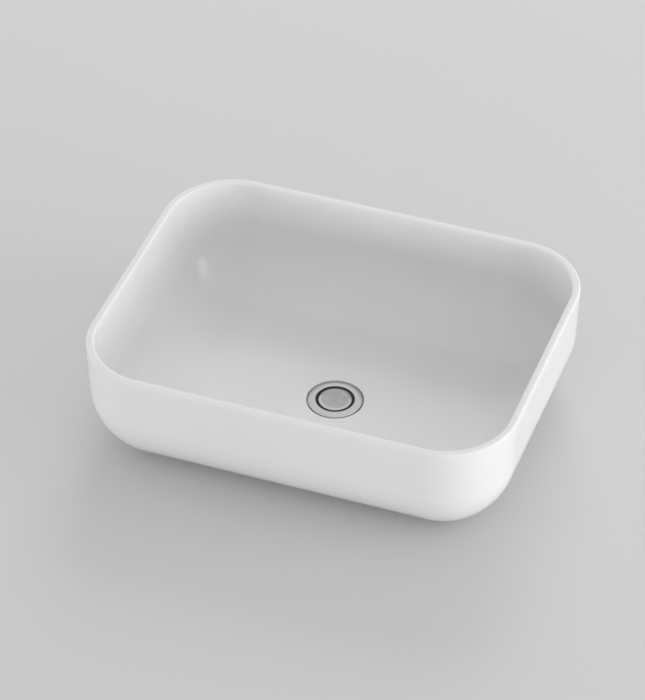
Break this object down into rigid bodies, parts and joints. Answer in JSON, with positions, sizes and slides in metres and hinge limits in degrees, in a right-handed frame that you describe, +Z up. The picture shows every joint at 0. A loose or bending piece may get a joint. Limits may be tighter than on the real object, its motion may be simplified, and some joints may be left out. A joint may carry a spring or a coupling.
{
  "type": "countertop basin",
  "caption": "Rectangular countertop basin with large round corners, a slim rim and a flat floor, fitted with a push-button waste whose flush cap lifts to let water out.",
  "frame": {"origin": "centre of the foot ring's face, where the basin rests on the worktop, on the waste's axis", "axes": "+Z up along the waste, +X along the basin's long side, +Y to the back; the plan is the same seen from front and back"},
  "size_m": [0.4998, 0.3898, 0.2075],
  "materials": {
    "glaze": "gloss white glaze",
    "chrome": "polished chrome plate",
    "seal_rubber": "black rubber",
    "gasket_foam": "dark soft rubber",
    "washer_rubber": "black rubber",
    "washer_plastic": "natural white plastic",
    "nut_brass": "turned brass",
    "retainer_plastic": "grey moulded plastic",
    "latch_brass": "turned brass",
    "rotor_plastic": "natural acetal",
    "washer_fibre": "red fibre",
    "spring_steel": "stainless wire"
  },
  "bodies": {
    "basin": {"basin_bowl": "glaze", "waste_body": "chrome", "flange_gasket": "gasket_foam", "cone_washer": "washer_rubber", "slip_washer": "washer_plastic", "backnut": "nut_brass", "latch_guide": "latch_brass", "stem_ring": "seal_rubber", "latch_barrel": "latch_brass", "barrel_washer": "washer_fibre", "latch_spring": "spring_steel"},
    "plug": {"plug_cap": "chrome", "plug_seal": "seal_rubber", "seal_retainer": "retainer_plastic", "latch_stem": "latch_brass"},
    "rotor": {"latch_rotor": "rotor_plastic"}
  },
  "joints": [
    {"name": "plug_lift", "type": "slide", "parent": "basin", "child": "plug", "axis": [0, 0, 1], "range_m": [-0.0015, 0.009], "deforming": ["latch_spring"]},
    {"name": "rotor_turn", "type": "hinge", "parent": "basin", "child": "rotor", "pos_m": [0, 0, -0.008], "axis": [0, 0, 1], "continuous": true}
  ]
}
